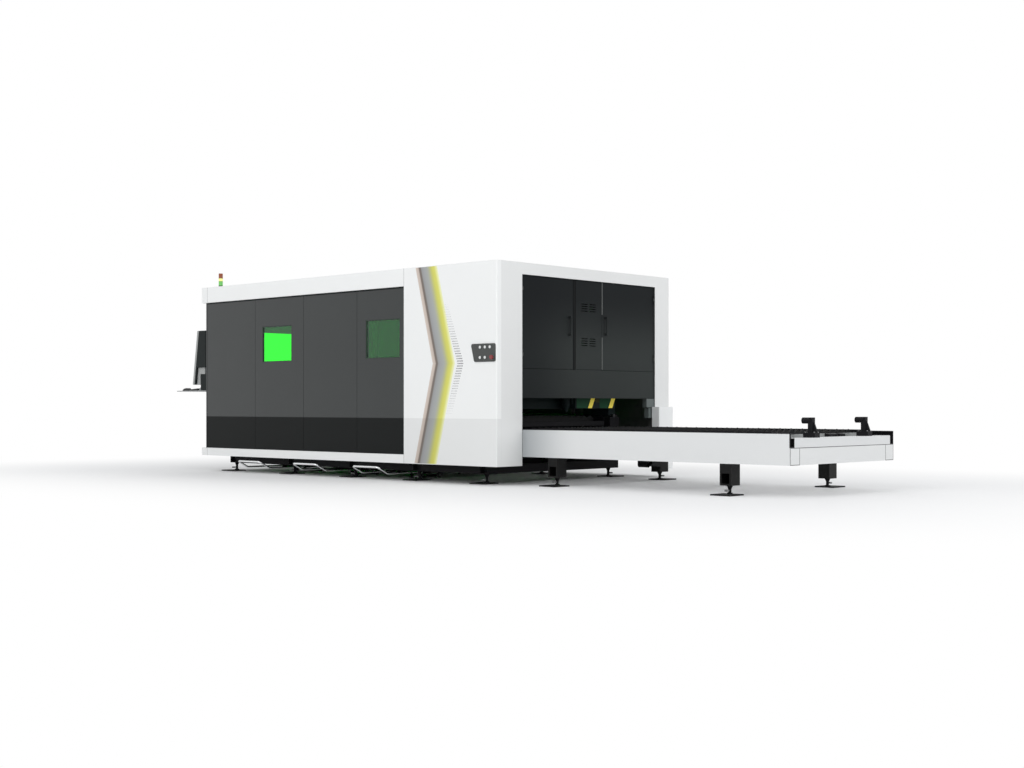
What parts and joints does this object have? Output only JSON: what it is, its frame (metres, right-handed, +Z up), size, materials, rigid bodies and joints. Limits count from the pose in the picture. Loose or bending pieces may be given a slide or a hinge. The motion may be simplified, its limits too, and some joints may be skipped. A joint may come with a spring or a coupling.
{
  "type": "fiber laser cutting machine",
  "caption": "Enclosed fiber laser cutter with a gantry head, swapping pallets on a side table, hinged end doors, a swing-arm console and pull-out scrap carts",
  "frame": {"origin": "on the floor under the middle of the whole machine's bounding box, table and console included", "axes": "+X along the machine from the enclosure to the exchange table, +Y across it away from the console's and the buttons' side, +Z up"},
  "size_m": [8.755, 2.82, 2.381],
  "materials": {
    "white_paint": "satin powder coat",
    "dark_paint": "satin powder coat",
    "black_paint": "satin paint",
    "infill_paint": "satin powder coat",
    "light_grey_paint": "satin powder coat",
    "bed_paint": "textured paint",
    "green_glass": "laser-safe acrylic",
    "screen_glass": "glossy",
    "steel": "brushed",
    "slat_steel": "mill finish",
    "cast_iron": "machined and painted",
    "chrome": "polished",
    "rubber": "matt",
    "black_plastic": "fine grain",
    "white_plastic": "smooth",
    "red_plastic": "smooth",
    "lamp_plastic": "translucent"
  },
  "bodies": {
    "machine": {"bed_frame": "bed_paint", "leveling_feet": "black_paint", "tracks": "black_paint", "enclosure_frame": "white_paint", "near_panels": "dark_paint", "far_panels": "dark_paint", "rear_panels": "dark_paint", "windows": "green_glass", "front_portal": "white_paint", "roof": "white_paint", "end_panel": "infill_paint", "pallet_latch": "steel", "drive_cover": "white_paint", "console_bracket": "black_paint", "button_plate": "dark_paint", "signal_tower": "lamp_plastic", "gantry_rails": "steel", "table_frame": "white_paint", "table_end_beam": "white_paint", "table_fascia": "white_paint", "pallet_stops": "black_paint"},
    "lower_pallet": {"lower_pallet_frame": "black_paint", "lower_pallet_slats": "slat_steel"},
    "lower_pallet_front_wheels": {"lower_pallet_wheels_front": "steel"},
    "lower_pallet_rear_wheels": {"lower_pallet_wheels_rear": "steel"},
    "upper_pallet": {"upper_pallet_frame": "black_paint", "upper_pallet_slats": "slat_steel"},
    "upper_pallet_front_wheels": {"upper_pallet_wheels_front": "steel"},
    "upper_pallet_rear_wheels": {"upper_pallet_wheels_rear": "steel"},
    "gantry": {"gantry_beam": "cast_iron"},
    "carriage": {"head_carriage": "black_paint"},
    "head": {"cutting_head": "black_plastic"},
    "door_left": {"left_door": "infill_paint"},
    "door_right": {"right_door": "infill_paint"},
    "console": {"console_arm": "light_grey_paint", "console_housing": "dark_paint", "screen": "screen_glass", "control_box": "dark_paint", "keyboard_tray": "steel", "keyboard": "black_plastic", "mouse": "black_plastic"},
    "button_1": {"push_button_1": "white_plastic"},
    "button_2": {"push_button_2": "white_plastic"},
    "button_3": {"push_button_3": "white_plastic"},
    "button_4": {"push_button_4": "white_plastic"},
    "button_5": {"push_button_5": "white_plastic"},
    "stop_button": {"emergency_stop": "red_plastic"},
    "exchange_shaft": {"drive_shaft": "steel"},
    "scrap_cart_1": {"cart_1": "black_paint", "cart_1_handle": "chrome"},
    "cart_1_front_axle": {"cart_1_front_wheels": "rubber"},
    "cart_1_rear_axle": {"cart_1_rear_wheels": "rubber"},
    "scrap_cart_2": {"cart_2": "black_paint", "cart_2_handle": "chrome"},
    "cart_2_front_axle": {"cart_2_front_wheels": "rubber"},
    "cart_2_rear_axle": {"cart_2_rear_wheels": "rubber"},
    "scrap_cart_3": {"cart_3": "black_paint", "cart_3_handle": "chrome"},
    "cart_3_front_axle": {"cart_3_front_wheels": "rubber"},
    "cart_3_rear_axle": {"cart_3_rear_wheels": "rubber"}
  },
  "joints": [
    {"name": "lower_pallet_travel", "type": "slide", "parent": "machine", "child": "lower_pallet", "axis": [1, 0, 0], "range_m": [-3.18, 0]},
    {"name": "lower_front_wheels_roll", "type": "hinge", "parent": "lower_pallet", "child": "lower_pallet_front_wheels", "pos_m": [3.7875, -0.1, 0.4813], "axis": [0, 1, 0], "range_deg": [-4060, 0]},
    {"name": "lower_rear_wheels_roll", "type": "hinge", "parent": "lower_pallet", "child": "lower_pallet_rear_wheels", "pos_m": [1.4375, -0.1, 0.4813], "axis": [0, 1, 0], "range_deg": [-4060, 0]},
    {"name": "upper_pallet_travel", "type": "slide", "parent": "machine", "child": "upper_pallet", "axis": [1, 0, 0], "range_m": [0, 3.18]},
    {"name": "upper_front_wheels_roll", "type": "hinge", "parent": "upper_pallet", "child": "upper_pallet_front_wheels", "pos_m": [0.6075, -0.1, 0.5943], "axis": [0, 1, 0], "range_deg": [0, 4060]},
    {"name": "upper_rear_wheels_roll", "type": "hinge", "parent": "upper_pallet", "child": "upper_pallet_rear_wheels", "pos_m": [-1.7425, -0.1, 0.5943], "axis": [0, 1, 0], "range_deg": [0, 4060]},
    {"name": "gantry_travel", "type": "slide", "parent": "machine", "child": "gantry", "axis": [1, 0, 0], "range_m": [-3.6, 0]},
    {"name": "carriage_travel", "type": "slide", "parent": "gantry", "child": "carriage", "axis": [0, 1, 0], "range_m": [-0.89, 0.28]},
    {"name": "head_height", "type": "slide", "parent": "carriage", "child": "head", "axis": [0, 0, 1], "range_m": [-0.03, 0.1]},
    {"name": "left_door_swing", "type": "hinge", "parent": "machine", "child": "door_left", "pos_m": [1.3105, -0.982, 1.6175], "axis": [0, 0, -1], "range_deg": [0, 90]},
    {"name": "right_door_swing", "type": "hinge", "parent": "machine", "child": "door_right", "pos_m": [1.3105, 1.142, 1.6175], "axis": [0, 0, 1], "range_deg": [0, 90]},
    {"name": "console_swivel", "type": "hinge", "parent": "machine", "child": "console", "pos_m": [-3.6875, -0.95, 1.21], "axis": [0, 0, 1], "range_deg": [-25, 25]},
    {"name": "button_1_press", "type": "slide", "parent": "machine", "child": "button_1", "axis": [0, 1, 0], "range_m": [0, 0.0035], "stiffness_N_per_m": 800, "springref_m": -0.0012},
    {"name": "button_2_press", "type": "slide", "parent": "machine", "child": "button_2", "axis": [0, 1, 0], "range_m": [0, 0.0035], "stiffness_N_per_m": 800, "springref_m": -0.0012},
    {"name": "button_3_press", "type": "slide", "parent": "machine", "child": "button_3", "axis": [0, 1, 0], "range_m": [0, 0.0035], "stiffness_N_per_m": 800, "springref_m": -0.0012},
    {"name": "button_4_press", "type": "slide", "parent": "machine", "child": "button_4", "axis": [0, 1, 0], "range_m": [0, 0.0035], "stiffness_N_per_m": 800, "springref_m": -0.0012},
    {"name": "button_5_press", "type": "slide", "parent": "machine", "child": "button_5", "axis": [0, 1, 0], "range_m": [0, 0.0035], "stiffness_N_per_m": 800, "springref_m": -0.0012},
    {"name": "stop_press", "type": "slide", "parent": "machine", "child": "stop_button", "axis": [0, 1, 0], "range_m": [0, 0.005], "stiffness_N_per_m": 1500, "springref_m": -0.0015},
    {"name": "exchange_shaft_turn", "type": "hinge", "parent": "machine", "child": "exchange_shaft", "pos_m": [1.3775, -0.1, 0.353], "axis": [0, 1, 0], "continuous": true},
    {"name": "cart_1_pull", "type": "slide", "parent": "machine", "child": "scrap_cart_1", "axis": [0, -1, 0], "range_m": [0, 1.7]},
    {"name": "cart_1_front_roll", "type": "hinge", "parent": "scrap_cart_1", "child": "cart_1_front_axle", "pos_m": [-0.5725, -0.52, 0.026], "axis": [1, 0, 0], "range_deg": [0, 3760]},
    {"name": "cart_1_rear_roll", "type": "hinge", "parent": "scrap_cart_1", "child": "cart_1_rear_axle", "pos_m": [-0.5725, 0.22, 0.026], "axis": [1, 0, 0], "range_deg": [0, 3760]},
    {"name": "cart_2_pull", "type": "slide", "parent": "machine", "child": "scrap_cart_2", "axis": [0, -1, 0], "range_m": [0, 1.7]},
    {"name": "cart_2_front_roll", "type": "hinge", "parent": "scrap_cart_2", "child": "cart_2_front_axle", "pos_m": [-1.5925, -0.52, 0.026], "axis": [1, 0, 0], "range_deg": [0, 3760]},
    {"name": "cart_2_rear_roll", "type": "hinge", "parent": "scrap_cart_2", "child": "cart_2_rear_axle", "pos_m": [-1.5925, 0.22, 0.026], "axis": [1, 0, 0], "range_deg": [0, 3760]},
    {"name": "cart_3_pull", "type": "slide", "parent": "machine", "child": "scrap_cart_3", "axis": [0, -1, 0], "range_m": [0, 1.7]},
    {"name": "cart_3_front_roll", "type": "hinge", "parent": "scrap_cart_3", "child": "cart_3_front_axle", "pos_m": [-2.6125, -0.52, 0.026], "axis": [1, 0, 0], "range_deg": [0, 3760]},
    {"name": "cart_3_rear_roll", "type": "hinge", "parent": "scrap_cart_3", "child": "cart_3_rear_axle", "pos_m": [-2.6125, 0.22, 0.026], "axis": [1, 0, 0], "range_deg": [0, 3760]}
  ],
  "couplings": [
    {"joint": "lower_front_wheels_roll", "follows": "lower_pallet_travel", "rad_per_m": 22.222},
    {"joint": "lower_rear_wheels_roll", "follows": "lower_pallet_travel", "rad_per_m": 22.222},
    {"joint": "upper_front_wheels_roll", "follows": "upper_pallet_travel", "rad_per_m": 22.222},
    {"joint": "upper_rear_wheels_roll", "follows": "upper_pallet_travel", "rad_per_m": 22.222},
    {"joint": "cart_1_front_roll", "follows": "cart_1_pull", "rad_per_m": 38.462},
    {"joint": "cart_1_rear_roll", "follows": "cart_1_pull", "rad_per_m": 38.462},
    {"joint": "cart_2_front_roll", "follows": "cart_2_pull", "rad_per_m": 38.462},
    {"joint": "cart_2_rear_roll", "follows": "cart_2_pull", "rad_per_m": 38.462},
    {"joint": "cart_3_front_roll", "follows": "cart_3_pull", "rad_per_m": 38.462},
    {"joint": "cart_3_rear_roll", "follows": "cart_3_pull", "rad_per_m": 38.462}
  ]
}
